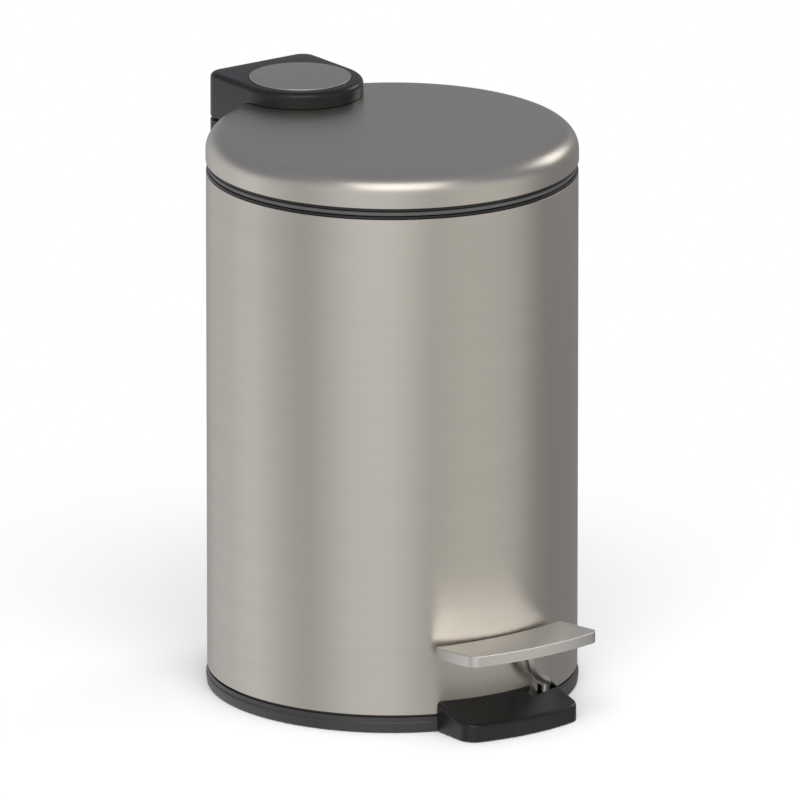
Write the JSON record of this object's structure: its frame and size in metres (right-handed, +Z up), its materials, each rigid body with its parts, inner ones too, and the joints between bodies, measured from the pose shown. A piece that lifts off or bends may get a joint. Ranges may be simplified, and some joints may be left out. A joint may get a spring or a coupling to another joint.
{
  "type": "pedal bin",
  "caption": "Small round pedal bin: brushed steel body and hinged lid, black base and hinge box, lift-out bucket with a wire handle, pedal lever and lift rod.",
  "frame": {"origin": "on the axis of the round body at floor level, under the middle of the bin's overall box", "axes": "+Z up; the pedal faces -Y and the lid's hinge is at +Y; +X is to the right as seen from the front"},
  "size_m": [0.1704, 0.218, 0.2711],
  "materials": {
    "brushed_steel": "fine horizontal brushing, warm grey",
    "black_plastic": "matte black moulding",
    "foot_rubber": "matt",
    "bucket_plastic": "matte dark grey moulding",
    "satin_metal": "satin",
    "bright_wire": "plated wire and screws"
  },
  "bodies": {
    "bin": {"body_shell": "brushed_steel", "base_pan": "black_plastic", "foot_ring": "foot_rubber", "top_collar": "black_plastic", "inner_bucket": "bucket_plastic", "hinge_housing": "black_plastic", "hinge_pin": "bright_wire", "rod_bracket": "black_plastic", "pedal_housing": "black_plastic", "lever_pin": "bright_wire", "housing_screw_left": "bright_wire", "housing_screw_right": "bright_wire", "block_screw_left": "bright_wire", "block_screw_right": "bright_wire"},
    "lid": {"lid_shell": "brushed_steel", "lid_liner": "black_plastic", "hinge_cover": "black_plastic", "badge_disc": "satin_metal", "hinge_arm": "black_plastic", "lid_screw_left": "bright_wire", "lid_screw_right": "bright_wire"},
    "rod": {"lift_rod": "bright_wire"},
    "pedal": {"pedal_lever": "satin_metal", "pedal_plate": "satin_metal", "pedal_screw_left": "bright_wire", "pedal_screw_right": "bright_wire"},
    "bail": {"bucket_bail": "bright_wire"}
  },
  "joints": [
    {"name": "lid_hinge", "type": "hinge", "parent": "bin", "child": "lid", "pos_m": [0, 0.1044, 0.252], "axis": [-1, 0, 0], "range_deg": [0, 80]},
    {"name": "rod_lift", "type": "slide", "parent": "bin", "child": "rod", "axis": [0, 0, 1], "range_m": [0, 0.02098]},
    {"name": "pedal_press", "type": "hinge", "parent": "bin", "child": "pedal", "pos_m": [0, -0.038, 0.018], "axis": [1, 0, 0], "range_deg": [0, 10.56]},
    {"name": "bail_swing", "type": "hinge", "parent": "bin", "child": "bail", "pos_m": [0, 0, 0.2482], "axis": [-1, 0, 0], "range_deg": [0, 6]}
  ],
  "couplings": [
    {"joint": "rod_lift", "follows": "lid_hinge", "m_per_rad": 0.015024},
    {"joint": "pedal_press", "follows": "lid_hinge", "ratio": 0.13198}
  ]
}
